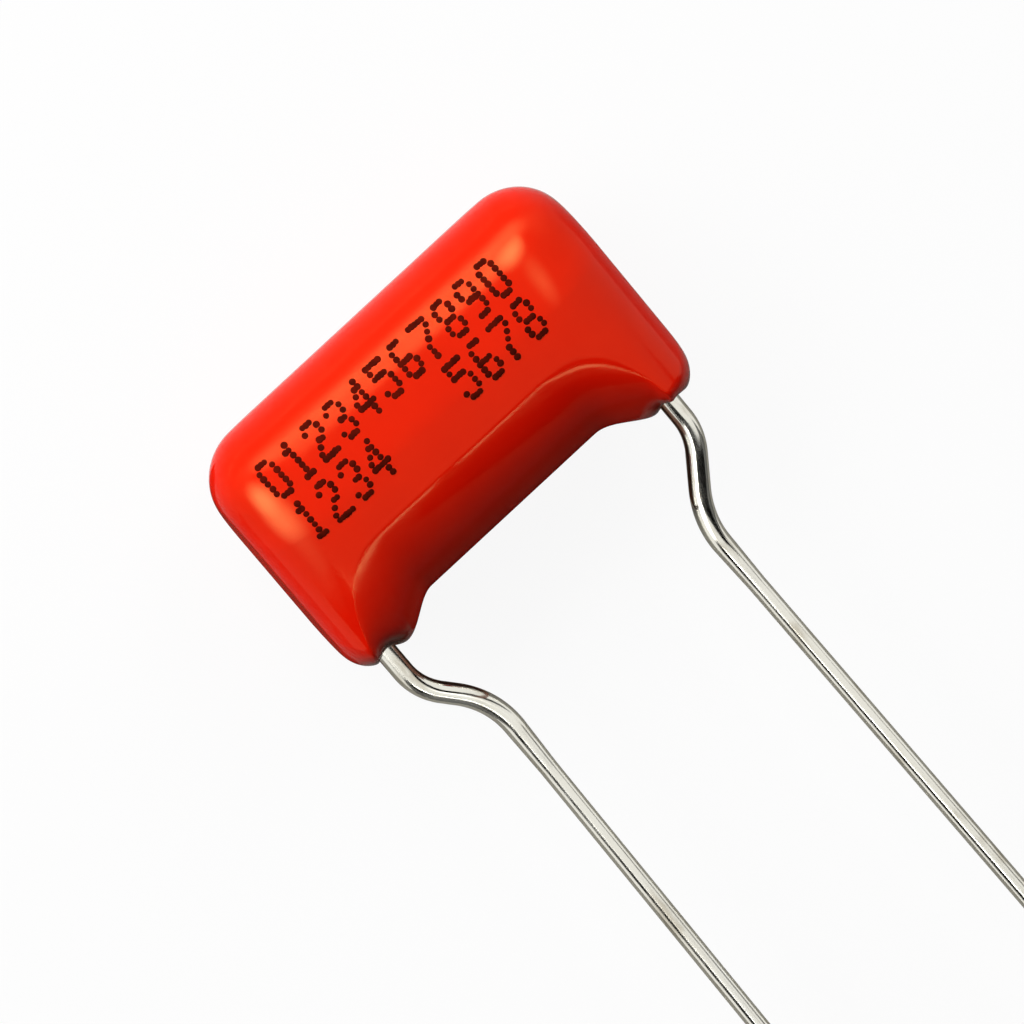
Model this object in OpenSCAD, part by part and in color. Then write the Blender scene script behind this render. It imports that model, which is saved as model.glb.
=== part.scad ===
// Polyester film capacitor with crimped radial leads, dipped in epoxy.
// It lies on its broad back. X runs along the row of leads, Y up the body with the
// leads reaching to -Y, and Z through the thickness. The origin is the middle of the
// level back face.

/* [Coating] */
// Length of the dipped body, along the row of leads
body_length = 15.3; // [14.8:0.1:16.5]
// Height of the body, from the arch between the legs to the top
body_height = 8.85; // [8.6:0.05:11]
// Thickness of the body over its two broad faces
body_thickness = 5.0; // [4.4:0.1:7]
// Radius of the two top corners, seen from the front
top_corner = 2.0; // [1:0.1:2.5]
// Radius of the two outer corners of the legs, seen from the front
leg_corner = 1.2; // [0.3:0.1:1.4]
// Length over which the thickness rounds off towards each end
end_round = 3.1; // [1.6:0.1:3.4]
// Thickness left at the very ends
end_thickness = 1.6; // [0.8:0.1:2.4]
// Depth of the rounding over the top, from the level faces up
top_round = 3.5; // [3:0.1:4]
// Fullness of that rounding, 2 being an ellipse
top_fullness = 2.0; // [2:0.1:3]

/* [Slope down to the arch] */
// From the arch up to the ridge where the level faces end
slope_reach = 3.7; // [2.6:0.1:4]
// Thickness towards which the slope narrows at the arch
arch_edge = 2.5; // [2:0.1:4.4]
// Fullness of its lower rounding
arch_fullness = 4.2; // [2:0.1:5]
// Sharpness of the ridge: 0 starts the slope smoothly, 1 makes it a flat wedge
ridge_sharpness = 0.3; // [0:0.05:1]
// From the end of the body to where the ridge has run down a leg
ridge_end = 0.65; // [0.3:0.05:1.2]
// Length over which the ridge turns down into a leg
ridge_turn = 2.4; // [1.6:0.1:3]
// How far it runs down
ridge_fall = 4.4; // [2:0.1:5]

/* [Legs] */
// How far the left leg reaches below the arch
left_leg = 1.0; // [0.6:0.05:2.5]
// How far the right leg reaches below the arch
right_leg = 1.2; // [0.6:0.05:2.5]
// Width of the left leg, beside its blend into the arch
left_leg_width = 1.9; // [1.6:0.05:2.4]
// Width of the right leg, beside its blend into the arch
right_leg_width = 1.7; // [1.6:0.05:2.4]
// Length over which the arch runs down into the left leg
left_blend = 1.85; // [1.4:0.05:2.6]
// Length over which the arch runs down into the right leg
right_blend = 2.4; // [1.4:0.05:2.6]
// Thickness towards which a leg narrows at its tip
leg_edge = 3.0; // [2:0.1:4.4]
// Depth of the rounding over a leg's tip
tip_round = 1.3; // [0.8:0.1:1.6]
// Fullness of that rounding
leg_fullness = 3.0; // [2:0.1:4]

/* [Winding] */
// Epoxy over the winding's broad faces
face_wall = 0.85; // [0.5:0.05:1]
// Epoxy over the winding's round edges
edge_wall = 1.1; // [0.9:0.05:1.4]
// Reach of the foil edges beyond the film at each end
foil_reach = 0.45; // [0.2:0.05:0.8]
// How far the foil edges stay inside the film's outline
foil_inset = 0.12; // [0.05:0.01:0.2]
// Width of the slit that the flattened winding arbor leaves
arbor_slit = 0.16; // [0.1:0.02:0.3]
// Metal sprayed over the foil edges at each end
end_metal = 0.35; // [0.2:0.05:0.5]

/* [Leads] */
// From the middle of a lead to the end of the body beside it
end_wall = 1.3; // [1.25:0.05:1.6]
// Distance between the leads just below their crimps
crimp_pitch = 9.3; // [8.6:0.1:10.4]
// Sideways shift of the winding and its leads in the coating
core_shift = -0.09; // [-0.15:0.01:0.15]
// Diameter of the bare wire
wire_d = 0.66; // [0.5:0.01:0.7]
// Diameter of the upper wire, thickened by its dip in solder
tinned_d = 0.76; // [0.72:0.01:0.8]
// Length over which the solder runs out along the wire
tin_runout = 2.0; // [0.5:0.1:4]
// From the longer leg's tip to the first bend
crimp_start = 1.55; // [1.4:0.05:3]
// Height of the left lead's crimp
left_crimp = 2.2; // [2:0.05:3]
// Height of the right lead's crimp
right_crimp = 2.65; // [2:0.05:3]
// Centreline radius of the upper bend
upper_bend = 2.5; // [0.8:0.1:2.8]
// Centreline radius of the lower bend
lower_bend = 3.8; // [0.8:0.1:4]
// Extra diameter that the crimp tool leaves in the bends
crimp_upset = 0.01; // [0.006:0.002:0.04]
// Outward splay of each lead below its crimp, in degrees
splay = 0.9; // [0.1:0.1:3]
// From the longer leg's tip down to the cut ends of the leads
lead_length = 31.8; // [12:0.2:40]
// Bevel round the cut ends
cut_bevel = 0.06; // [0.02:0.01:0.15]

/* [Solder joints] */
// Length of the solder along the lead
joint_length = 4.0; // [2:0.1:4.6]
// Diameter of the solder round the lead
joint_d = 1.3; // [1.1:0.05:1.5]
// Wire that shows above the solder
lead_stub = 0.35; // [0.1:0.05:0.4]
// Gap left where two solid pieces meet
bond_gap = 0.01; // [0.005:0.005:0.02]

/* [Smoothness] */
// Rings of the coating over each rounded end
end_rings = 11; // [6:1:13]
// Rings of the coating from the middle to an end's rounding
half_rings = 13; // [8:1:16]
// Points round each ring of the coating
ring_points = 56; // [32:4:64]

/* [Hidden] */
$fn = 48;

left = -1;
right = 1;
mid_z = body_thickness / 2;
top_y = body_height / 2;
arch_y = top_y - body_height;
face_top_y = top_y - top_round;
ridge_y = arch_y + slope_reach;
leg_tip_y = arch_y - max(left_leg, right_leg);
ridge_half = body_length / 2 - ridge_end - ridge_turn;

winding_height = body_height - 2 * edge_wall;
winding_thickness = body_thickness - 2 * face_wall;
exit_pitch = body_length - 2 * end_wall;
end_face_x = exit_pitch / 2 - tinned_d / 2 - bond_gap;
foil_end_x = end_face_x - end_metal - bond_gap;
film_end_x = foil_end_x - foil_reach;

crimp_inset = (exit_pitch - crimp_pitch) / 2;
lead_top_y = joint_length / 2 + lead_stub;
first_bend_y = leg_tip_y - crimp_start;
lead_end_y = leg_tip_y - lead_length;
// Length over which the ridge melts into the rounding of a leg's tip
ridge_blend = 0.5;
// How far a straight stretch of wire reaches into a bend
bend_seat = 0.05;

// ---------- shape of the coating ----------

// Smooth step from 0 to 1
function ease(t) = let(u = max(0, min(1, t))) u * u * (3 - 2 * u);

// Fall of a quarter round: 0 where it starts, 1 at its end
function round_off(t) = let(u = max(0, min(1, t))) 1 - sqrt(1 - u * u);

// How far x lies into a rounding of radius r at the end of the body, from 0 to 1
function into_end(x, r) = (abs(x) - (body_length / 2 - r)) / r;

// The value for the side that x lies on
function on_its_side(x, left_value, right_value) = x < 0 ? left_value : right_value;

// How much of a leg there is at x: 0 over the arch, 1 in the leg
function leg_at(x) =
    let(width = on_its_side(x, left_leg_width, right_leg_width),
        blend = on_its_side(x, left_blend, right_blend))
    1 - ease((body_length / 2 - width - abs(x)) / blend);

// Highest and lowest point of the body at x
function top_at(x) = top_y - top_corner * round_off(into_end(x, top_corner));
function bottom_at(x) =
    arch_y - on_its_side(x, left_leg, right_leg) * leg_at(x)
    + leg_corner * round_off(into_end(x, leg_corner));

// Half thickness of the body at x
function half_thickness_at(x) =
    (body_thickness - (body_thickness - end_thickness) * round_off(into_end(x, end_round))) / 2;

// Where the level face ends at x: at the ridge, which turns down the leg as far as the tip's rounding
function ridge_at(x) =
    let(ridge = ridge_y - ridge_fall * round_off((abs(x) - ridge_half) / ridge_turn),
        tip = bottom_at(x) + tip_round)
    (ridge + tip + norm([ridge - tip, ridge_blend])) / 2;

// How much of its narrowing a slope has done at a share of its reach
function narrowing(share) = ridge_sharpness * share + (1 - ridge_sharpness) * share * share;

// Angle in a super-ellipse's quarter at the share t of its points, which keeps them evenly spaced
function spread(t, fullness) =
    let(past = pow(t, fullness / 2), ahead = pow(1 - t, fullness / 2)) 90 * past / (past + ahead);

// Half a ring from the front face to the back: a super-ellipse of the given reach and fullness,
// which narrows to the share edge of its thickness
function half_ring(x, level_y, reach, fullness, from, edge = 1) =
    [for (i = [0 : ring_points / 2 - 1])
        let(t = 2 * i / (ring_points / 2 - 1),
            a = from + (t < 1 ? spread(t, fullness) : 180 - spread(2 - t, fullness)),
            share = pow(abs(sin(a)), 2 / fullness),
            z = half_thickness_at(x) * sign(cos(a)) * pow(abs(cos(a)), 2 / fullness))
        [x, level_y + reach * share, mid_z + z * (1 - (1 - edge) * narrowing(share))]];

// One ring of the coating: rounded over the top, level, then sloping to the arch or the leg's tip
function ring(x) =
    let(leg = leg_at(x),
        lower_fullness = arch_fullness * (1 - leg) + leg_fullness * leg,
        edge = (arch_edge * (1 - leg) + leg_edge * leg) / body_thickness)
    concat(half_ring(x, face_top_y, top_at(x) - face_top_y, top_fullness, 0),
           half_ring(x, ridge_at(x), bottom_at(x) - ridge_at(x), lower_fullness, 180, edge));

// Places of the rings: even along the middle, closer and closer round each end
flat_half = body_length / 2 - end_round;
end_places = [for (i = [1 : end_rings]) flat_half + end_round * sin(90 * i / end_rings)];
ring_places = concat([for (i = [end_rings - 1 : -1 : 0]) -end_places[i]],
                     [for (i = [-half_rings : half_rings]) flat_half * i / half_rings],
                     end_places);

// A skin over a row of closed rings, with a flat lid at both ends
module loft(rings) {
    n = len(rings[0]);
    last = len(rings) - 1;
    skin = [for (r = [0 : last - 1], i = [0 : n - 1])
        let(a = r * n + i, b = r * n + (i + 1) % n)
        each [[a, b, a + n], [b, b + n, a + n]]];
    lids = [[for (i = [n - 1 : -1 : 0]) i], [for (i = [0 : n - 1]) last * n + i]];
    polyhedron([for (r = rings) each r], concat(skin, lids), convexity = 4);
}

// The dipped form before anything is taken out
module dipped_form() {
    loft([for (x = ring_places) ring(x)]);
}

// ---------- shapes inside the coating ----------

// A pressed roll of stadium section, from x0 to x1, all its sizes grown by grow
module flat_roll(x0, x1, height, thickness, grow = 0) {
    straight = height - thickness;
    translate([x0 - grow, 0, mid_z])
        rotate([90, 0, 90])
            linear_extrude(x1 - x0 + 2 * grow) {
                square([straight, thickness + 2 * grow], center = true);
                for (s = [left, right])
                    translate([s * straight / 2, 0]) circle(d = thickness + 2 * grow);
            }
}

// Outline of the whole winding, film and foil edges
module winding_outline(grow = 0) {
    flat_roll(-film_end_x, film_end_x, winding_height, winding_thickness, grow);
    foil_outline(-foil_end_x, foil_end_x, grow);
}

module foil_outline(x0, x1, grow = 0) {
    flat_roll(x0, x1, winding_height - 2 * foil_inset, winding_thickness - 2 * foil_inset, grow);
}

// Right-hand end metal, a plate over the foil edges
module end_metal_outline(grow = 0) {
    foil_outline(foil_end_x + bond_gap, end_face_x, grow);
}

// Right-hand solder joint, a round-ended bead cut off by the end metal
module joint_outline(grow = 0) {
    bead_d = joint_d + 2 * grow;
    bead_straight = joint_length - joint_d;
    intersection() {
        translate([exit_pitch / 2, 0, mid_z]) {
            rotate([90, 0, 0]) cylinder(h = bead_straight, d = bead_d, center = true);
            for (s = [left, right])
                translate([0, s * bead_straight / 2, 0]) sphere(d = bead_d);
        }
        translate([end_face_x + bond_gap - grow, -joint_length, mid_z - joint_d])
            cube([joint_d * 2, joint_length * 2, joint_d * 2]);
    }
}

// The straight upper wire of the right-hand lead, down to y_end
module upper_wire(y_end, grow = 0) {
    translate([exit_pitch / 2, lead_top_y + grow, mid_z])
        rotate([90, 0, 0]) cylinder(h = lead_top_y + grow - y_end, d = tinned_d + 2 * grow);
}

// Turns a right-hand piece round the body's middle to either side, shifted with the winding
module on_side(side) {
    translate([core_shift, 0, mid_z]) rotate([0, side == left ? 180 : 0, 0])
        translate([0, 0, -mid_z]) children();
}

// ---------- wire bending, heading to -Y ----------

// A straight stretch that ends inside the bends beside it, then the rest of the wire
module run(length, d) {
    translate([0, bend_seat, 0]) rotate([90, 0, 0]) cylinder(h = length + 2 * bend_seat, d = d);
    translate([0, -length, 0]) children();
}

// A bend of radius r through angle, to -X where the angle is positive
module bend(angle, r, d) {
    s = sign(angle);
    a = abs(angle);
    rotate([0, s < 0 ? 180 : 0, 0])
        translate([-r, 0, 0])
            rotate([0, 0, -a]) rotate_extrude(angle = a) translate([r, 0]) circle(d = d);
    translate([-s * r * (1 - cos(a)), -r * sin(a), 0]) rotate([0, 0, -angle]) children();
}

// The last straight stretch: the solder runs out to bare wire with a bevelled cut end
module tail(length) {
    rotate([90, 0, 0])
        rotate_extrude()
            polygon([[0, -bend_seat], [tinned_d / 2, -bend_seat], [wire_d / 2, tin_runout],
                     [wire_d / 2, length - cut_bevel], [wire_d / 2 - cut_bevel, length], [0, length]]);
}

// Right-hand lead with a crimp of the given height
module lead(crimp_height) {
    crimp_angle = atan2(crimp_inset, crimp_height);
    upper_tangent = upper_bend * tan(crimp_angle / 2);
    lower_tangent = lower_bend * tan((crimp_angle + splay) / 2);
    middle = norm([crimp_inset, crimp_height]) - upper_tangent - lower_tangent;
    below_crimp = first_bend_y - crimp_height - lead_end_y;
    bend_start_y = first_bend_y + upper_tangent;
    bend_d = tinned_d + crimp_upset;
    upper_wire(bend_start_y - bend_seat);
    translate([exit_pitch / 2, bend_start_y, mid_z])
        bend(crimp_angle, upper_bend, bend_d)
        run(middle, tinned_d)
        bend(-crimp_angle - splay, lower_bend, bend_d)
        tail(below_crimp / cos(splay) - lower_tangent);
}

// ---------- the pieces ----------

// Hollow coating: the dipped form less all that it was dipped over
module epoxy_coating() {
    color("orangered")
        difference() {
            dipped_form();
            translate([core_shift, 0, 0]) winding_outline(bond_gap);
            for (side = [left, right])
                on_side(side) {
                    end_metal_outline(bond_gap);
                    joint_outline(bond_gap);
                    upper_wire(leg_tip_y - 1, bond_gap);
                }
        }
}

// Film and foil, wound, pressed flat and slit through by the arbor
module film_foil_winding() {
    color("gainsboro")
        translate([core_shift, 0, 0])
            difference() {
                winding_outline();
                translate([0, 0, mid_z])
                    cube([body_length, winding_height - winding_thickness, arbor_slit], center = true);
            }
}

module end_metal_plate(side) {
    color("silver") on_side(side) end_metal_outline();
}

module solder_joint(side) {
    color("lightgray")
        on_side(side)
            difference() {
                joint_outline();
                upper_wire(-joint_length, bond_gap);
            }
}

module left_end_metal() { end_metal_plate(left); }
module right_end_metal() { end_metal_plate(right); }
module left_solder_joint() { solder_joint(left); }
module right_solder_joint() { solder_joint(right); }
module left_lead() { color("lightsteelblue") on_side(left) lead(left_crimp); }
module right_lead() { color("lightsteelblue") on_side(right) lead(right_crimp); }

epoxy_coating();
film_foil_winding();
left_end_metal();
right_end_metal();
left_solder_joint();
right_solder_joint();
left_lead();
right_lead();
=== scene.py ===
"""Looks of the dipped film capacitor: glossy epoxy, tinned wires, printed digits and a plain light tent."""
import math
import random

import bpy
from mathutils import Matrix, Vector


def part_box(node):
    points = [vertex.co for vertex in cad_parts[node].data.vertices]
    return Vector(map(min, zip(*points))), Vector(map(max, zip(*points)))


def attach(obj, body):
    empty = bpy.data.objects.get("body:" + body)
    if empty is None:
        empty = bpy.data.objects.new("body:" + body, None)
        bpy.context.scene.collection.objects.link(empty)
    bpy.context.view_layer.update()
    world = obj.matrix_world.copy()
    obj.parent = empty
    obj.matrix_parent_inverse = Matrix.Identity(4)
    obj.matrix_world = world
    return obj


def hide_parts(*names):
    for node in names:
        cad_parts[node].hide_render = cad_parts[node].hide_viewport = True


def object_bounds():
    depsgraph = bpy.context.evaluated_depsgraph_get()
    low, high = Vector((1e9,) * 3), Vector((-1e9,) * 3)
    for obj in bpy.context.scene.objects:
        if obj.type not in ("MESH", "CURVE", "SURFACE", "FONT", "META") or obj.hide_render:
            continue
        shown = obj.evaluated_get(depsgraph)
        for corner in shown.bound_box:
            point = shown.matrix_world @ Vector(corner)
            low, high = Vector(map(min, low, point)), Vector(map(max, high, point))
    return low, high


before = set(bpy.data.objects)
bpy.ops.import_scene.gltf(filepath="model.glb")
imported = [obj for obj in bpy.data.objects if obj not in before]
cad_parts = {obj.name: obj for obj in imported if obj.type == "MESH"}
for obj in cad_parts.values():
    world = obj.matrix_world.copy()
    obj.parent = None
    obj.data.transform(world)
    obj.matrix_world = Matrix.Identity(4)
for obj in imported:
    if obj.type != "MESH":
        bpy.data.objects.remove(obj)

MM = 0.001
CAD_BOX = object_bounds()

# ---------- sizes shared with the solids, in metres ----------

BODY_LOW, BODY_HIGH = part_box("epoxy_coating")
HALF_LENGTH = BODY_HIGH.x
THICKNESS = BODY_HIGH.z
MID_Z = THICKNESS / 2
TOP_Y = BODY_HIGH.y
LEG_TIP_Y = BODY_LOW.y

LEFT_LEG = 1.0 * MM
RIGHT_LEG = 1.2 * MM
ARCH_Y = LEG_TIP_Y + RIGHT_LEG
TOP_CORNER = 2.0 * MM
LEG_CORNER = 1.2 * MM
END_ROUND = 3.1 * MM
END_THICKNESS = 1.6 * MM
TOP_ROUND = 3.5 * MM
TOP_FULLNESS = 2.0
FACE_TOP_Y = TOP_Y - TOP_ROUND

SLOPE_REACH = 3.8 * MM
ARCH_EDGE = 2.5 * MM
ARCH_FULLNESS = 4.2
RIDGE_SHARPNESS = 0.3
RIDGE_FALL = 4.4 * MM
RIDGE_BLEND = 0.5 * MM
RIDGE_Y = ARCH_Y + SLOPE_REACH

LEFT_LEG_WIDTH = 1.9 * MM
RIGHT_LEG_WIDTH = 1.7 * MM
LEFT_BLEND = 1.85 * MM
RIGHT_BLEND = 2.4 * MM
LEG_EDGE = 3.0 * MM
TIP_ROUND = 1.3 * MM
LEG_FULLNESS = 3.0

# Where the ridge starts to turn down each leg, and the length that the turn takes
LEFT_TURN_AT, LEFT_TURN = 4.6 * MM, 2.4 * MM
RIGHT_TURN_AT, RIGHT_TURN = 3.8 * MM, 2.3 * MM
# Softness of the ridge, as a share of its slope, and where it changes to that of the right side
RIDGE_SOFT, RIGHT_RIDGE_SOFT = 0.025, 0.35
RIDGE_FADE_AT, RIDGE_FADE = 3.0 * MM, 1.5 * MM
# Crest, radius and reach of the slight swell of the front face
SWELL_Y = 0.4 * MM
SWELL_RADIUS = 20 * MM
SWELL_REACH = 3.0 * MM
# Hollow in the tip of each leg, where the wire leaves it: its depth, width, and reach towards the
# front and the back, then how far above the arch it ends and the height over which it fades
LEFT_DIMPLE, RIGHT_DIMPLE = 0.48 * MM, 1.15 * MM
DIMPLE_HALF_WIDTH = 0.42 * MM
DIMPLE_FRONT, DIMPLE_BACK = 1.1 * MM, 0.25 * MM
DIMPLE_TOP, DIMPLE_FADE = 0.6 * MM, 1.0 * MM

END_WALL = 1.3 * MM
EXIT_PITCH = 2 * (HALF_LENGTH - END_WALL)
CRIMP_PITCH = 9.3 * MM
CORE_SHIFT = -0.09 * MM
WIRE_R = 0.33 * MM
TINNED_R = 0.38 * MM
TIN_RUNOUT = 2.0 * MM
FIRST_BEND_Y = LEG_TIP_Y - 1.55 * MM
LEFT_CRIMP = 2.2 * MM
RIGHT_CRIMP = 2.65 * MM
UPPER_BEND = 2.5 * MM
LOWER_BEND = 3.8 * MM
SPLAY = math.radians(0.9)
LEAD_TOP_Y = 2.35 * MM
LEAD_END_Y = CAD_BOX[0].y
CUT_BEVEL = 0.06 * MM

# Middle of the painted shade in the pit round each wire, with x counted without its sign, and the distances
# from it where the painted shade starts to lighten and where it ends
PIT_SHADE_AT = (EXIT_PITCH / 2, -5.0 * MM, MID_Z + 0.7 * MM)
PIT_SHADE_INNER, PIT_SHADE_OUTER = 0.5 * MM, 1.45 * MM
# Over this height painted shade darkens the epoxy towards the top, which the lamps light more strongly
TOP_SHADE_FROM, TOP_SHADE_TO = 0.6 * MM, 3.0 * MM

# ---------- helpers ----------


def clamp(t):
    return max(0.0, min(1.0, t))


def ease(t):
    u = clamp(t)
    return u * u * (3 - 2 * u)


def round_off(t):
    """0 where a quarter round starts, 1 at its end."""
    u = clamp(t)
    return 1 - math.sqrt(1 - u * u)


def mesh_object(name, verts, faces, material):
    mesh = bpy.data.meshes.new(name)
    mesh.from_pydata([tuple(v) for v in verts], [], faces)
    mesh.validate()
    mesh.materials.append(material)
    thing = bpy.data.objects.new(name, mesh)
    bpy.context.scene.collection.objects.link(thing)
    return thing


def mesh_piece(name, verts, faces, material):
    """A smooth-shaded piece of the part."""
    piece = mesh_object(name, verts, faces, material)
    piece.data.shade_smooth()
    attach(piece, "root")
    return piece


def stage_plate(name, w, h, material):
    """A flat plate of half-width w and half-height h that isn't part of the object."""
    corners = [(-w, -h, 0), (w, -h, 0), (w, h, 0), (-w, h, 0)]
    plate = mesh_object(name, corners, [(0, 1, 2, 3)], material)
    return plate


def skin(rings):
    """Quads over a row of closed rings of equal count."""
    n = len(rings[0])
    starts = [(r * n, (r + 1) * n) for r in range(len(rings) - 1)]
    return [(low + i, low + (i + 1) % n, high + (i + 1) % n, high + i)
            for low, high in starts for i in range(n)]


# ---------- materials ----------


class Nodes:
    """A node material under construction."""

    def __init__(self, name):
        self.material = bpy.data.materials.new(name)
        self.material.use_nodes = True
        self.tree = self.material.node_tree
        self.shader = self.tree.nodes["Principled BSDF"]

    def add(self, kind, inputs=(), **settings):
        """A node, with a value or a link for each named input."""
        node = self.tree.nodes.new(kind)
        for key, value in settings.items():
            setattr(node, key, value)
        for socket, value in dict(inputs).items():
            if isinstance(value, bpy.types.NodeSocket):
                self.tree.links.new(value, node.inputs[socket])
            else:
                node.inputs[socket].default_value = value
        return node

    def link(self, socket, value):
        """Sets an input of the shader, or links it."""
        if isinstance(value, bpy.types.NodeSocket):
            self.tree.links.new(value, self.shader.inputs[socket])
        else:
            self.shader.inputs[socket].default_value = value

    def surface(self, shader):
        self.tree.links.new(shader.outputs[0], self.tree.nodes["Material Output"].inputs["Surface"])

    def position(self):
        return self.add("ShaderNodeTexCoord").outputs["Object"]

    def folded_position(self):
        """Position from the middle between the leads, with x counted without its sign."""
        shift = (-CORE_SHIFT, 0, 0)
        moved = self.add("ShaderNodeVectorMath", {0: self.position(), 1: shift}, operation="ADD")
        parts = self.add("ShaderNodeSeparateXYZ", {"Vector": moved.outputs[0]}).outputs
        side = self.add("ShaderNodeMath", {0: parts["X"]}, operation="ABSOLUTE").outputs[0]
        return self.add("ShaderNodeCombineXYZ", {"X": side, "Y": parts["Y"], "Z": parts["Z"]}).outputs[0]

    def noise(self, scale, detail=3.0, roughness=0.5, vector=None):
        vector = vector or self.position()
        inputs = {"Vector": vector, "Scale": scale, "Detail": detail, "Roughness": roughness}
        return self.add("ShaderNodeTexNoise", inputs).outputs["Fac"]

    def stretched(self, x, y, z):
        """Position scaled by its own number along each axis."""
        mapping = self.add("ShaderNodeMapping", {"Vector": self.position(), "Scale": (x, y, z)})
        return mapping.outputs["Vector"]

    def ramp(self, fac, *stops):
        """Maps fac through (position, colour or grey) stops."""
        node = self.add("ShaderNodeValToRGB", {"Fac": fac})
        node.color_ramp.interpolation = "EASE"
        elements = node.color_ramp.elements
        while len(elements) < len(stops):
            elements.new(0.5)
        for element, (place, colour) in zip(elements, stops):
            element.position = place
            element.color = (*colour, 1) if isinstance(colour, tuple) else (colour, colour, colour, 1)
        return node.outputs["Color"]

    def bump(self, height, distance, strength=1.0):
        node = self.add("ShaderNodeBump", {"Height": height, "Distance": distance, "Strength": strength})
        return node.outputs["Normal"]

    def share(self, value, low, high):
        """How far value is on the way from low to high, from 0 to 1."""
        inputs = {"Value": value, "From Min": low, "From Max": high}
        return self.add("ShaderNodeMapRange", inputs).outputs["Result"]

    def height(self):
        """Place along the body's upright axis."""
        return self.add("ShaderNodeSeparateXYZ", {"Vector": self.position()}).outputs["Y"]

    def product(self, one, other):
        return self.add("ShaderNodeVectorMath", {0: one, 1: other}, operation="MULTIPLY").outputs[0]

    def distance(self, one, other):
        return self.add("ShaderNodeVectorMath", {0: one, 1: other}, operation="DISTANCE").outputs["Value"]


def epoxy_material():
    """Glossy red epoxy, faintly clouded, with painted shade that darkens it towards the top and in the pit
    round each wire.
    """
    m = Nodes("epoxy_orange")
    cloud = m.ramp(m.noise(350, 3, 0.6), (0.3, (0.78, 0.0062, 0.0004)), (0.7, (0.82, 0.0078, 0.0005)))
    # Painted shade: the base colour darkens towards the top
    up = m.share(m.height(), TOP_SHADE_FROM, TOP_SHADE_TO)
    painted_top_shade = m.ramp(up, (0.0, (1.0, 1.0, 1.0)), (1.0, (0.73, 0.80, 0.80)))
    # Painted shade in the pit round each wire, darkest next to the wire
    from_pit = m.share(m.distance(m.folded_position(), PIT_SHADE_AT), PIT_SHADE_INNER, PIT_SHADE_OUTER)
    shade = m.ramp(from_pit, (0.0, 0.12), (1.0, 1.0))
    m.link("Base Color", m.product(m.product(cloud, painted_top_shade), shade))
    m.link("Roughness", m.ramp(m.noise(900, 2), (0.3, 0.09), (0.7, 0.13)))
    m.link("Specular IOR Level", 0.30)
    m.link("Specular Tint", (1.0, 0.66, 0.20, 1))
    m.link("Normal", m.bump(m.noise(1300, 2), 0.003 * MM, 0.6))
    return m.material


def tin_material():
    """Bright tin with duller blotches and fine streaks along the wire."""
    m = Nodes("tinned_wire")
    m.link("Metallic", 1.0)
    blotch = m.noise(1.0, 4, 0.6, m.stretched(1500, 420, 1500))
    dull, plain, bright = (0.62, 0.58, 0.48), (0.84, 0.82, 0.73), (0.88, 0.87, 0.80)
    m.link("Base Color", m.ramp(blotch, (0.28, dull), (0.48, plain), (0.8, bright)))
    smear = m.noise(1.0, 3, 0.6, m.stretched(2600, 700, 2600))
    m.link("Roughness", m.ramp(smear, (0.3, 0.10), (0.7, 0.17)))
    streaks = m.noise(1.0, 3, 0.6, m.stretched(6000, 500, 6000))
    m.link("Normal", m.bump(streaks, 0.004 * MM, 0.4))
    return m.material


def ink_material():
    m = Nodes("print_ink")
    thin, thick = (0.085, 0.005, 0.002), (0.050, 0.004, 0.002)
    m.link("Base Color", m.ramp(m.noise(3000, 2), (0.35, thick), (0.7, thin)))
    m.link("Roughness", 0.6)
    m.link("Specular IOR Level", 0.0)
    return m.material


def film_material():
    m = Nodes("film_and_foil")
    turns = m.noise(1.0, 2, 0.5, m.stretched(60, 9000, 9000))
    m.link("Base Color", m.ramp(turns, (0.35, (0.50, 0.50, 0.48)), (0.65, (0.80, 0.80, 0.78))))
    m.link("Metallic", 0.7)
    m.link("Roughness", 0.3)
    m.link("Normal", m.bump(turns, 0.01 * MM, 0.6))
    return m.material


def spray_material():
    m = Nodes("sprayed_metal")
    grain = m.noise(7000, 3, 0.6)
    m.link("Base Color", m.ramp(grain, (0.3, (0.42, 0.41, 0.39)), (0.7, (0.66, 0.65, 0.62))))
    m.link("Metallic", 1.0)
    m.link("Roughness", 0.55)
    m.link("Normal", m.bump(grain, 0.03 * MM, 0.8))
    return m.material


def solder_material():
    m = Nodes("solder")
    flow = m.noise(1800, 3, 0.5)
    m.link("Base Color", m.ramp(flow, (0.3, (0.62, 0.61, 0.59)), (0.7, (0.78, 0.77, 0.75))))
    m.link("Metallic", 1.0)
    m.link("Roughness", 0.28)
    m.link("Normal", m.bump(flow, 0.01 * MM, 0.5))
    return m.material


def dress(node, material):
    """Gives a carried-over CAD node a node material."""
    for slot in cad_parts[node].material_slots:
        slot.material = material


# ---------- epoxy coating ----------

RINGS_ROUND_END = 40
RINGS_HALF_MIDDLE = 60
POINTS_ROUND = 240
LID_STEPS = 6


def into_end(x, r):
    return (abs(x) - (HALF_LENGTH - r)) / r


def leg_at(x):
    """0 over the arch, 1 in a leg."""
    width, blend = (LEFT_LEG_WIDTH, LEFT_BLEND) if x < 0 else (RIGHT_LEG_WIDTH, RIGHT_BLEND)
    return 1 - ease((HALF_LENGTH - width - abs(x)) / blend)


def top_at(x):
    return TOP_Y - TOP_CORNER * round_off(into_end(x, TOP_CORNER))


def bottom_at(x):
    leg = LEFT_LEG if x < 0 else RIGHT_LEG
    return ARCH_Y - leg * leg_at(x) + LEG_CORNER * round_off(into_end(x, LEG_CORNER))


def half_thickness_at(x):
    return (THICKNESS - (THICKNESS - END_THICKNESS) * round_off(into_end(x, END_ROUND))) / 2


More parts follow.
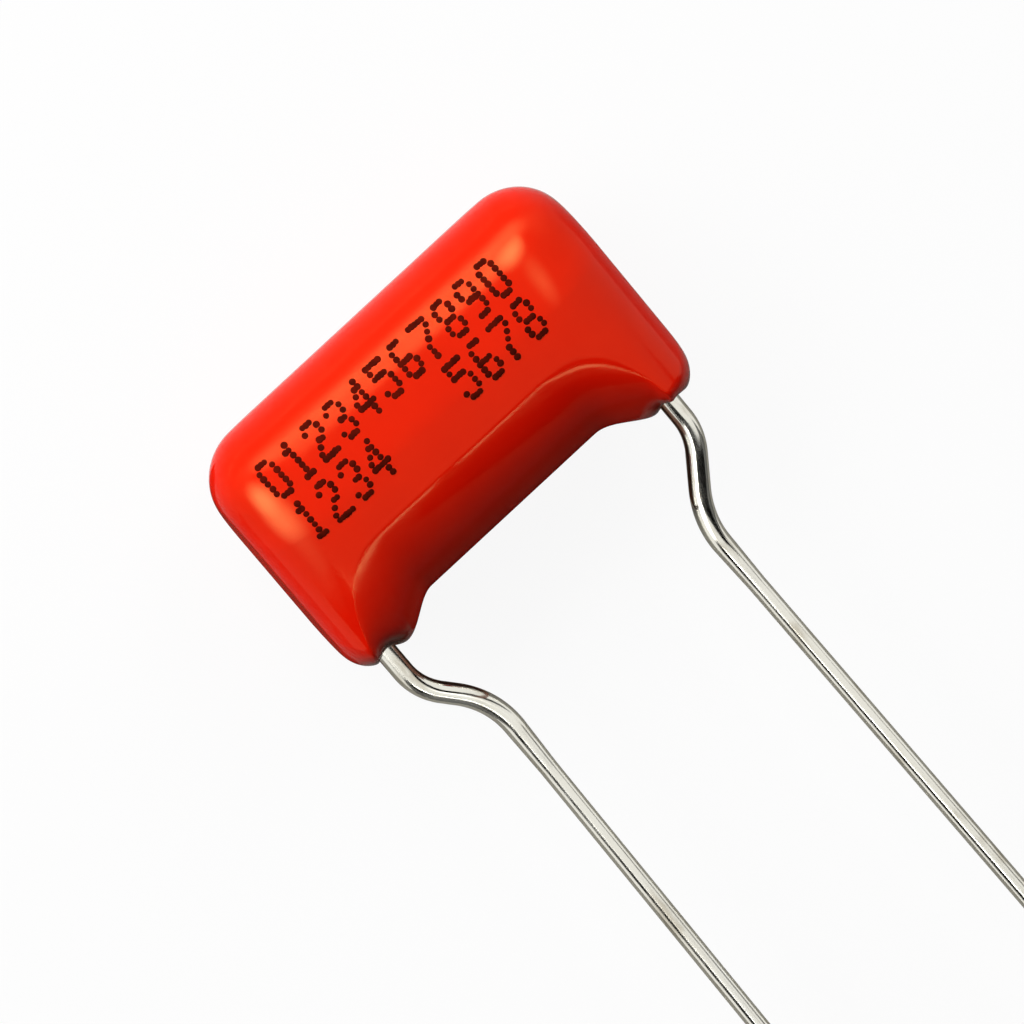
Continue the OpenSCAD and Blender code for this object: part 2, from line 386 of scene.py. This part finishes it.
def ridge_at(x):
    """Where the level face ends: the ridge turns down each leg as far as the tip's rounding."""
    start, turn = (LEFT_TURN_AT, LEFT_TURN) if x < 0 else (RIGHT_TURN_AT, RIGHT_TURN)
    ridge = RIDGE_Y - RIDGE_FALL * round_off((abs(x) - start) / turn)
    tip = bottom_at(x) + TIP_ROUND
    return (ridge + tip + math.hypot(ridge - tip, RIDGE_BLEND)) / 2


def narrowing(x, share):
    """How much of its narrowing a slope has done at a share of its reach."""
    soft = RIDGE_SOFT + (RIGHT_RIDGE_SOFT - RIDGE_SOFT) * ease((x - RIDGE_FADE_AT) / RIDGE_FADE)
    straight = (math.hypot(share, soft) - soft) / (math.hypot(1, soft) - soft)
    return RIDGE_SHARPNESS * straight + (1 - RIDGE_SHARPNESS) * share * share


def swell(y):
    """Share of its depth that the front face keeps at y, all of it at the crest of the swell."""
    away = y - SWELL_Y
    sag = away * away / (2 * SWELL_RADIUS) / (1 + (away / SWELL_REACH) ** 2)
    return 1 - sag / MID_Z


def lower_fullness_at(x):
    return ARCH_FULLNESS * (1 - leg_at(x)) + LEG_FULLNESS * leg_at(x)


def half_depth(x, y):
    """From the middle plane out to the back of the coating."""
    half = half_thickness_at(x)
    if y >= FACE_TOP_Y:
        rise = min(1.0, (y - FACE_TOP_Y) / (top_at(x) - FACE_TOP_Y))
        return half * (1 - rise ** TOP_FULLNESS) ** (1 / TOP_FULLNESS)
    ridge = ridge_at(x)
    if y >= ridge:
        return half
    leg = leg_at(x)
    reach = ridge - bottom_at(x)
    fullness = lower_fullness_at(x)
    edge = (ARCH_EDGE * (1 - leg) + LEG_EDGE * leg) / THICKNESS
    share = min(1.0, (ridge - y) / reach)
    return half * (1 - (1 - edge) * narrowing(x, share)) * (1 - share ** fullness) ** (1 / fullness)


def front_depth(x, y):
    return half_depth(x, y) * swell(y)


def spread(t, fullness):
    """Share of the reach at the share t of the points, which keeps them evenly spaced."""
    past, ahead = t ** (fullness / 2), (1 - t) ** (fullness / 2)
    return math.sin(math.pi / 2 * past / (past + ahead)) ** (2 / fullness)


def ring(x):
    """Closed ring: up the front, over the top, down the back and under."""
    quarter = POINTS_ROUND // 4
    top, ridge, bottom = top_at(x), ridge_at(x), bottom_at(x)
    low_fullness = lower_fullness_at(x)
    front = [ridge + (bottom - ridge) * spread(1 - i / quarter, low_fullness) for i in range(quarter + 1)]
    front += [FACE_TOP_Y + (top - FACE_TOP_Y) * spread(i / quarter, TOP_FULLNESS) for i in range(quarter)]
    points = [Vector((x, y, MID_Z + front_depth(x, y))) for y in front]
    points.append(Vector((x, top, MID_Z)))
    points += [Vector((x, y, MID_Z - half_depth(x, y))) for y in reversed(front[1:])]
    return points


def ring_places():
    """Places along x, closer together towards the ends."""
    flat = HALF_LENGTH - END_ROUND
    angles = [math.pi / 2 * i / RINGS_ROUND_END for i in range(1, RINGS_ROUND_END + 1)]
    ends = [flat + END_ROUND * math.sin(a) for a in angles]
    middle = [flat * i / RINGS_HALF_MIDDLE for i in range(-RINGS_HALF_MIDDLE, RINGS_HALF_MIDDLE + 1)]
    return [-x for x in reversed(ends)] + middle + ends


def lid_rings(outline):
    """Rings that close a flat end towards its middle line."""
    centre = sum(outline, Vector()) / len(outline)
    shares = [1 - k / (LID_STEPS + 1) for k in range(1, LID_STEPS + 1)]
    return [[centre + (p - centre) * share for p in outline] for share in shares]


def dimpled(p):
    """Draws the coating up round the wire where it leaves the leg."""
    side = math.copysign(1, p.x)
    across = (p.x - CORE_SHIFT - side * EXIT_PITCH / 2) / DIMPLE_HALF_WIDTH
    out = (p.z - MID_Z) / (DIMPLE_FRONT if p.z > MID_Z else DIMPLE_BACK)
    near_tip = ease((ARCH_Y + DIMPLE_TOP - p.y) / DIMPLE_FADE)
    deepest = LEFT_DIMPLE if side < 0 else RIGHT_DIMPLE
    depth = deepest * math.exp(-across * across - out * out) * near_tip
    return Vector((p.x, p.y + depth, p.z))


def coating_mesh():
    rings = [[dimpled(p) for p in ring(x)] for x in ring_places()]
    rings = list(reversed(lid_rings(rings[0]))) + rings + lid_rings(rings[-1])
    n = len(rings[0])
    verts = [p for r in rings for p in r]
    last = (len(rings) - 1) * n
    faces = [tuple(reversed(f)) for f in skin(rings)]
    faces.append(tuple(range(n)))
    faces.append(tuple(range(last + n - 1, last - 1, -1)))
    return verts, faces


def make_coating(material):
    verts, faces = coating_mesh()
    piece = mesh_piece("dipped_epoxy", verts, faces, material)
    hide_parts("epoxy_coating")


# ---------- printed digits ----------

# Dots of each digit, row by row from the top
DIGITS = {
    "0": "01110 10001 10001 10001 10001 10001 01110",
    "1": "00100 01100 00100 00100 00100 00100 01110",
    "2": "01110 10001 00001 00110 01000 10000 11111",
    "3": "01110 10001 00001 00110 00001 10001 01110",
    "4": "00010 00110 01010 10010 11111 00010 00010",
    "5": "11111 10000 11110 00001 00001 10001 01110",
    "6": "01110 10000 10000 11110 10001 10001 01110",
    "7": "11111 00001 00010 00100 01000 01000 01000",
    "8": "01110 10001 10001 01110 10001 10001 01110",
    "9": "01110 10001 10001 01111 00001 00001 01110",
}
LAST_DOT_ROW = 6
FIRST_DIGIT_X = -6.0 * MM
DIGIT_PITCH = 0.985 * MM
DOT_PITCH = 0.135 * MM
DOT_R = 0.116 * MM
DOT_RISE = 0.012 * MM
DOT_SIDES = 14
# Rings of a dot from its foot, sunk in the epoxy, to its crown: share of its radius, share of its rise
DOT_RINGS = ((1.0, -0.5), (0.96, 0.5), (0.7, 0.9))
# How unevenly the dots are printed: stray from their place, and smallest and largest share of the radius
DOT_STRAY = 0.012 * MM
DOT_SMALLEST, DOT_LARGEST = 0.9, 1.12
# Each row of print: digits, and the height of its upper and lower dots on the face
PRINT_ROWS = [("01234567890", 3.62 * MM, 2.50 * MM), ("1234   5678", 2.05 * MM, 0.66 * MM)]
# Step over which the slope of the face is taken
FACE_STEP = 0.02 * MM


def face_point(x, y):
    return Vector((x, y, MID_Z + front_depth(x, y)))


def face_axes(x, y):
    """Directions across, up and straight out from the face at a point."""
    along = face_point(x + FACE_STEP, y) - face_point(x - FACE_STEP, y)
    rise = face_point(x, y + FACE_STEP) - face_point(x, y - FACE_STEP)
    normal = along.cross(rise).normalized()
    across = Vector((0, 1, 0)).cross(normal).normalized()
    return across, normal.cross(across), normal


def dot_places():
    for text, high, low in PRINT_ROWS:
        for column, digit in enumerate(text):
            for row, bits in enumerate(DIGITS.get(digit, "").split()):
                for place, bit in enumerate(bits):
                    if bit == "1":
                        x = FIRST_DIGIT_X + column * DIGIT_PITCH + place * DOT_PITCH
                        yield x, high + (low - high) * row / LAST_DOT_ROW


def dot_verts(x, y, radius):
    """Rings of a flat domed dot, then its crown."""
    across, up, normal = face_axes(x, y)
    verts = []
    for share, rise in DOT_RINGS:
        for i in range(DOT_SIDES):
            a = 2 * math.pi * i / DOT_SIDES
            side = across * math.cos(a) + up * math.sin(a)
            verts.append(face_point(x, y) + side * radius * share + normal * DOT_RISE * rise)
    verts.append(face_point(x, y) + normal * DOT_RISE)
    return verts


def dot_faces(first):
    """Faces of a dot whose points start at first."""
    steps = [(i, (i + 1) % DOT_SIDES) for i in range(DOT_SIDES)]
    faces = []
    for k in range(len(DOT_RINGS) - 1):
        low, high = first + k * DOT_SIDES, first + (k + 1) * DOT_SIDES
        faces += [(low + i, low + j, high + j, high + i) for i, j in steps]
    inner = first + (len(DOT_RINGS) - 1) * DOT_SIDES
    return faces + [(inner + i, inner + j, inner + DOT_SIDES) for i, j in steps]


def make_print(material):
    """One flat domed dot of ink for every point of the digits."""
    chance = random.Random(7)
    verts, faces = [], []
    for x, y in dot_places():
        x += chance.uniform(-DOT_STRAY, DOT_STRAY)
        y += chance.uniform(-DOT_STRAY, DOT_STRAY)
        radius = DOT_R * chance.uniform(DOT_SMALLEST, DOT_LARGEST)
        faces += dot_faces(len(verts))
        verts += dot_verts(x, y, radius)
    mesh_piece("printed_digits", verts, faces, material)


# ---------- leads ----------

WIRE_SIDES = 48
BEND_STEPS = 24
TIN_STEPS = 12
UPPER_STEPS, MIDDLE_STEPS, LOWER_STEPS = 8, 4, 40


class WireBender:
    """Walks along a wire in the plane of the leads and keeps its stations: place, heading and radius."""

    def __init__(self, place, radius):
        self.place = place
        self.heading = 0.0
        self.radius = radius
        self.stations = [(place.copy(), 0.0, radius)]

    def straight(self, length, radius=None, steps=1):
        """A straight run, which may taper to another radius."""
        first = self.radius
        last = self.radius if radius is None else radius
        start = self.place.copy()
        ahead = Vector((-math.sin(self.heading), -math.cos(self.heading), 0))
        for i in range(1, steps + 1):
            self.place = start + ahead * (length * i / steps)
            self.stations.append((self.place.copy(), self.heading, first + (last - first) * i / steps))
        self.radius = last

    def bend(self, angle, bend_radius):
        """Positive angles turn towards -X."""
        side = math.copysign(1, angle)
        start, start_heading = self.place.copy(), self.heading
        across = Vector((-math.cos(start_heading), math.sin(start_heading), 0)) * side
        centre = start + across * bend_radius
        for i in range(1, BEND_STEPS + 1):
            self.heading = start_heading + angle * i / BEND_STEPS
            back = Vector((math.cos(self.heading), -math.sin(self.heading), 0)) * side
            self.place = centre + back * bend_radius
            self.stations.append((self.place.copy(), self.heading, self.radius))


def lead_stations(crimp):
    """Right-hand lead, from inside the body to its cut end."""
    inset = (EXIT_PITCH - CRIMP_PITCH) / 2
    crimp_angle = math.atan2(inset, crimp)
    upper_tangent = UPPER_BEND * math.tan(crimp_angle / 2)
    lower_tangent = LOWER_BEND * math.tan((crimp_angle + SPLAY) / 2)
    middle = math.hypot(inset, crimp) - upper_tangent - lower_tangent
    below = (FIRST_BEND_Y - crimp - LEAD_END_Y) / math.cos(SPLAY) - lower_tangent
    wire = WireBender(Vector((EXIT_PITCH / 2, LEAD_TOP_Y, MID_Z)), TINNED_R)
    wire.straight(LEAD_TOP_Y - FIRST_BEND_Y - upper_tangent, steps=UPPER_STEPS)
    wire.bend(crimp_angle, UPPER_BEND)
    wire.straight(middle, steps=MIDDLE_STEPS)
    wire.bend(-crimp_angle - SPLAY, LOWER_BEND)
    wire.straight(TIN_RUNOUT, WIRE_R, TIN_STEPS)
    wire.straight(below - TIN_RUNOUT - CUT_BEVEL, steps=LOWER_STEPS)
    wire.straight(CUT_BEVEL, WIRE_R - CUT_BEVEL)
    return wire.stations


def wire_ring(place, heading, radius):
    """Circle round a station of the wire."""
    across = Vector((math.cos(heading), -math.sin(heading), 0))
    up = Vector((0, 0, 1))
    angles = [2 * math.pi * i / WIRE_SIDES for i in range(WIRE_SIDES)]
    return [place + (across * math.cos(a) + up * math.sin(a)) * radius for a in angles]


def lead_mesh(stations):
    rings = [wire_ring(*station) for station in stations]
    verts = [p for r in rings for p in r]
    last = (len(rings) - 1) * WIRE_SIDES
    faces = skin(rings)
    faces.append(tuple(range(WIRE_SIDES - 1, -1, -1)))
    faces.append(tuple(range(last, last + WIRE_SIDES)))
    return verts, faces


def make_lead(side, crimp, material):
    """The left lead is the right one turned half round the body's upright axis, with its own crimp."""
    verts, faces = lead_mesh(lead_stations(crimp))
    if side == "left":
        verts = [Vector((-v.x, v.y, 2 * MID_Z - v.z)) for v in verts]
    verts = [v + Vector((CORE_SHIFT, 0, 0)) for v in verts]
    piece = mesh_piece(side + "_tinned_lead", verts, faces, material)
    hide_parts(side + "_lead")


# ---------- camera ----------

LOOK_AT = Vector((-0.215, -4.606, 2.707)) * MM
CAMERA_DISTANCE = 519.5 * MM
CAMERA_BACK = Vector((-0.09761097, 0.45114246, 0.88709784))
CAMERA_UP = Vector((0.67651814, 0.68382468, -0.27332584))
SENSOR = 36.0
LENS = 547.3
CLIP_NEAR, CLIP_FAR = 0.01, 10


def make_camera():
    data = bpy.data.cameras.new("camera")
    data.sensor_width = SENSOR
    data.lens = LENS
    data.clip_start = CLIP_NEAR
    data.clip_end = CLIP_FAR
    camera = bpy.data.objects.new("camera", data)
    bpy.context.scene.collection.objects.link(camera)
    right = CAMERA_UP.cross(CAMERA_BACK)
    turn = Matrix((right, CAMERA_UP, CAMERA_BACK)).transposed()
    camera.matrix_world = Matrix.Translation(LOOK_AT + CAMERA_BACK * CAMERA_DISTANCE) @ turn.to_4x4()
    bpy.context.scene.camera = camera


# ---------- floor and world ----------

FLOOR_HALF = 2.0
# Share of plain white in what the camera sees of the floor. The rest takes the shadow.
FLOOR_WHITE = 0.92
# Other rays find the floor darker on the side of the leads, a painted shade, and pale from the second of
# these places on
FLOOR_SHADE_FROM, FLOOR_SHADE_TO = -2 * MM, 8 * MM
# Strength of the tent in reflections, and as a light
TENT_SEEN = 0.95
TENT_LIGHT = 0.10


def floor_material():
    """White to the camera but for its shadows; to everything else a pale floor, with painted shade that
    darkens it on the side of the leads.
    """
    m = Nodes("floor_white")
    m.link("Base Color", (0.9, 0.9, 0.9, 1))
    m.link("Roughness", 0.9)
    m.link("Specular IOR Level", 0.0)
    glow_white = m.add("ShaderNodeEmission", {"Color": (1, 1, 1, 1), "Strength": 1.0})
    white = m.add("ShaderNodeMixShader", {0: FLOOR_WHITE, 1: m.shader.outputs[0], 2: glow_white.outputs[0]})
    # Painted shade: for all but camera rays the floor darkens towards the leads
    up = m.share(m.height(), FLOOR_SHADE_FROM, FLOOR_SHADE_TO)
    tone = m.ramp(up, (0.0, (0.40, 0.39, 0.36)), (1.0, (0.95, 0.95, 0.95)))
    pale_with_painted_shade = m.add("ShaderNodeBsdfDiffuse", {"Color": tone})
    seen = m.add("ShaderNodeLightPath").outputs["Is Camera Ray"]
    m.surface(m.add("ShaderNodeMixShader", {0: seen, 1: pale_with_painted_shade.outputs[0], 2: white.outputs[0]}))
    return m.material


def make_floor():
    stage_plate("floor", FLOOR_HALF, FLOOR_HALF, floor_material())


def make_world():
    """A white tent: white to the camera, nearly so in reflections, and a dim fill for the rest."""
    world = bpy.data.worlds.new("tent")
    bpy.context.scene.world = world
    world.use_nodes = True
    tree = world.node_tree
    path = tree.nodes.new("ShaderNodeLightPath")
    level = TENT_LIGHT
    for ray, white in (("Is Camera Ray", 1.0), ("Is Glossy Ray", TENT_SEEN)):
        add = tree.nodes.new("ShaderNodeMath")
        add.operation = "MULTIPLY_ADD"
        tree.links.new(path.outputs[ray], add.inputs[0])
        add.inputs[1].default_value = white - TENT_LIGHT
        if isinstance(level, float):
            add.inputs[2].default_value = level
        else:
            tree.links.new(level, add.inputs[2])
        level = add.outputs[0]
    tree.links.new(level, tree.nodes["Background"].inputs["Strength"])
    tree.nodes["Background"].inputs["Color"].default_value = (1, 1, 1, 1)


# ---------- lamps, glows and cards, all in millimetres ----------

LIGHT_DISTANCE = 300

# Lamps that reflections don't see: direction, size, radiance
LAMPS = {
    "key": ((-0.20, 0.88, 0.42), (300, 100), 13.5),
    "left_fill": ((-0.72, 0.56, 0.41), (140, 140), 4.3),
    "right_fill": ((0.75, 0.50, 0.42), (140, 140), 5.5),
}
# A lamp that only reflections see, for the fine line along the ridge
RIDGE_STRIP = ((-0.18, -0.645, 0.76), (200, 13), 7.0)
# Soft patches of light in reflections: direction, size, radiance
GLOWS = {
    "top_glow": ((0.12, 0.80, 0.59), (520, 190), 6.0),
    "right_glow": ((0.34, 0.05, 0.93), (90, 330), 3.5),
    "right_spot": ((0.24, 0.60, 0.76), (130, 150), 17.0),
    "left_glow": ((-0.64, 0.02, 0.77), (250, 390), 10.0),
    "left_spot": ((-0.64, 0.33, 0.69), (230, 230), 11.0),
}
TONES = {"black": (0.004, 0.004, 0.004), "dim": (0.2, 0.2, 0.2), "shade_brown": (0.11, 0.055, 0.04)}
ALONG_X = (1, 0, 0)
# Plates that darken reflections: tone, place, size, direction of the width, point that they face
CARDS = {
    "front_card": ("dim", (0, -232.5, 91.5), (600, 228), ALONG_X, (0, 0, 0)),
    "upper_front_card": ("black", (-25, -208.7, 242.6), (300, 58), ALONG_X, (0, 0, 0)),
    # The brown plates on the floor by the arch and the end, and the one standing by the arch, are painted
    # shade of the floor, tinted with a painted red bounce from the epoxy
    "arch_card": ("shade_brown", (0, -6.8, 0.02), (8.4, 4.6), ALONG_X, (0, -6.8, -1)),
    "arch_wall_card": ("shade_brown", (0, -9.1, 2.5), (8.4, 5.0), ALONG_X, (0, 0, 2.5)),
    "end_card": ("shade_brown", (-8.5, -1.2, 0.02), (1.8, 12), ALONG_X, (-8.5, -1.2, -1)),
    "lead_line_card": ("black", (-62.4, -69.1, 66.2), (40, 36), (0.7, 0, 0.71), (0, -24, 2.5)),
    "crimp_card": ("black", (5.0, -11.4, 9.9), (15, 3.2), (0.85, -0.53, 0), (5.2, -8.4, 2.5)),
}


def softbox(name, toward, size, radiance):
    """An area lamp aimed at the body from a direction."""
    back = Vector(toward).normalized()
    data = bpy.data.lights.new(name, "AREA")
    data.shape = "RECTANGLE"
    data.size = size[0] * MM
    data.size_y = size[1] * MM
    data.energy = radiance * data.size * data.size_y * math.pi
    lamp = bpy.data.objects.new(name, data)
    bpy.context.scene.collection.objects.link(lamp)
    lamp.rotation_mode = "QUATERNION"
    lamp.rotation_quaternion = back.to_track_quat("Z", "Y")
    lamp.location = Vector((0, 0, MID_Z)) + back * LIGHT_DISTANCE * MM
    return lamp


def card(name, material, place, size, along=ALONG_X, toward=(0, 0, 0)):
    """A plate that only reflections see. It faces a point, with its width along a direction."""
    plate = stage_plate(name, size[0] * MM / 2, size[1] * MM / 2, material)
    back = (Vector(place) - Vector(toward)).normalized()
    up = back.cross(Vector(along)).normalized()
    turn = Matrix((up.cross(back), up, back)).transposed()
    plate.matrix_world = Matrix.Translation(Vector(place) * MM) @ turn.to_4x4()
    plate.visible_camera = False
    plate.visible_diffuse = False
    plate.visible_shadow = False


def card_material(name, colour):
    m = Nodes(name)
    m.link("Base Color", (*colour, 1))
    m.link("Roughness", 1.0)
    m.link("Specular IOR Level", 0.0)
    return m.material


def glow_material(name, size, radiance):
    """Light that fades out from the middle of a plate, added to what lies behind it."""
    m = Nodes(name)
    across = m.stretched(2 / (size[0] * MM), 2 / (size[1] * MM), 1)
    spot = m.add("ShaderNodeTexGradient", {"Vector": across}, gradient_type="SPHERICAL").outputs["Fac"]
    faded = m.ramp(spot, (0.0, 0.0), (1.0, 1.0))
    power = m.add("ShaderNodeMath", {0: faded, 1: radiance}, operation="MULTIPLY").outputs[0]
    light = m.add("ShaderNodeEmission", {"Color": (1, 1, 1, 1), "Strength": power})
    clear = m.add("ShaderNodeBsdfTransparent")
    m.surface(m.add("ShaderNodeAddShader", {0: light.outputs[0], 1: clear.outputs[0]}))
    m.tree.nodes.remove(m.shader)
    return m.material


def make_lamps():
    for name, (toward, size, radiance) in LAMPS.items():
        softbox(name, toward, size, radiance).visible_glossy = False
    softbox("ridge_strip", *RIDGE_STRIP).visible_diffuse = False


def make_glows():
    for name, (toward, size, radiance) in GLOWS.items():
        place = Vector(toward).normalized() * LIGHT_DISTANCE
        card(name, glow_material(name, size, radiance), place, size)


def make_cards():
    tones = {tone: card_material(tone + "_card", colour) for tone, colour in TONES.items()}
    for name, (tone, place, size, along, toward) in CARDS.items():
        card(name, tones[tone], place, size, along, toward)


# ---------- build ----------

bpy.context.scene.view_settings.view_transform = "Standard"
epoxy = epoxy_material()
tin = tin_material()
make_coating(epoxy)
make_print(ink_material())
make_lead("left", LEFT_CRIMP, tin)
make_lead("right", RIGHT_CRIMP, tin)
dress("film_foil_winding", film_material())
spray = spray_material()
solder = solder_material()
for side in ("left", "right"):
    dress(side + "_end_metal", spray)
    dress(side + "_solder_joint", solder)
make_floor()
make_world()
make_lamps()
make_glows()
make_cards()
make_camera()
